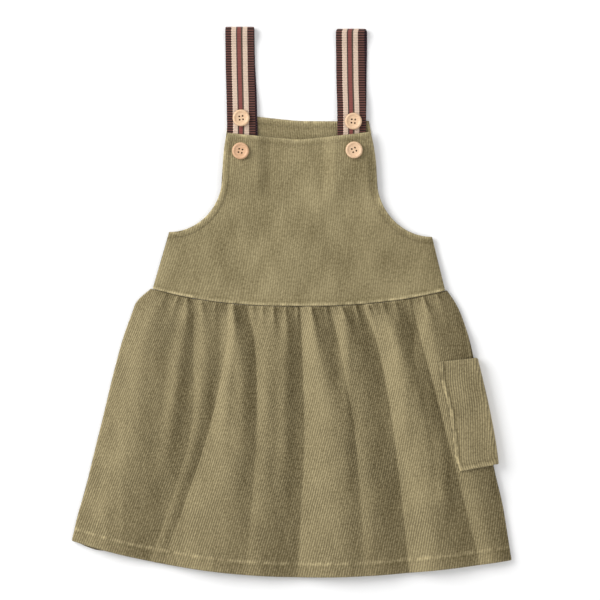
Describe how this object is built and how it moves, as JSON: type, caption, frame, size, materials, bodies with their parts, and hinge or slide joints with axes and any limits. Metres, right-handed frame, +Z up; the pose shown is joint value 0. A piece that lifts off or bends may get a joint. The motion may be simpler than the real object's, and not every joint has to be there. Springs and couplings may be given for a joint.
{
  "type": "corduroy pinafore dress",
  "caption": "Child's sleeveless corduroy pinafore dress laid flat, with a bib, gathered skirt, side pocket, striped webbing straps and wooden buttons.",
  "frame": {"origin": "middle of the footprint, on the surface that the dress lies on", "axes": "+Z up, out of the dress's front; +Y from the hem to the straps; +X towards the side with the pocket"},
  "size_m": [0.3852, 0.4824, 0.0127],
  "materials": {
    "corduroy": "olive khaki cotton corduroy with a fine wale and a brushed, softly sheened pile",
    "webbing": "woven webbing with ribbed dark brown edges, cream stripes and a rust middle stripe",
    "wood": "pale turned wood with a satin surface"
  },
  "bodies": {
    "root": {"back_skirt": "corduroy", "front_skirt": "corduroy", "back_bodice": "corduroy", "front_bodice": "corduroy", "side_pocket": "corduroy", "strap_left": "webbing", "strap_right": "webbing", "strap_button_left": "wood", "bib_button_left": "wood", "strap_button_right": "wood", "bib_button_right": "wood"}
  },
  "joints": []
}
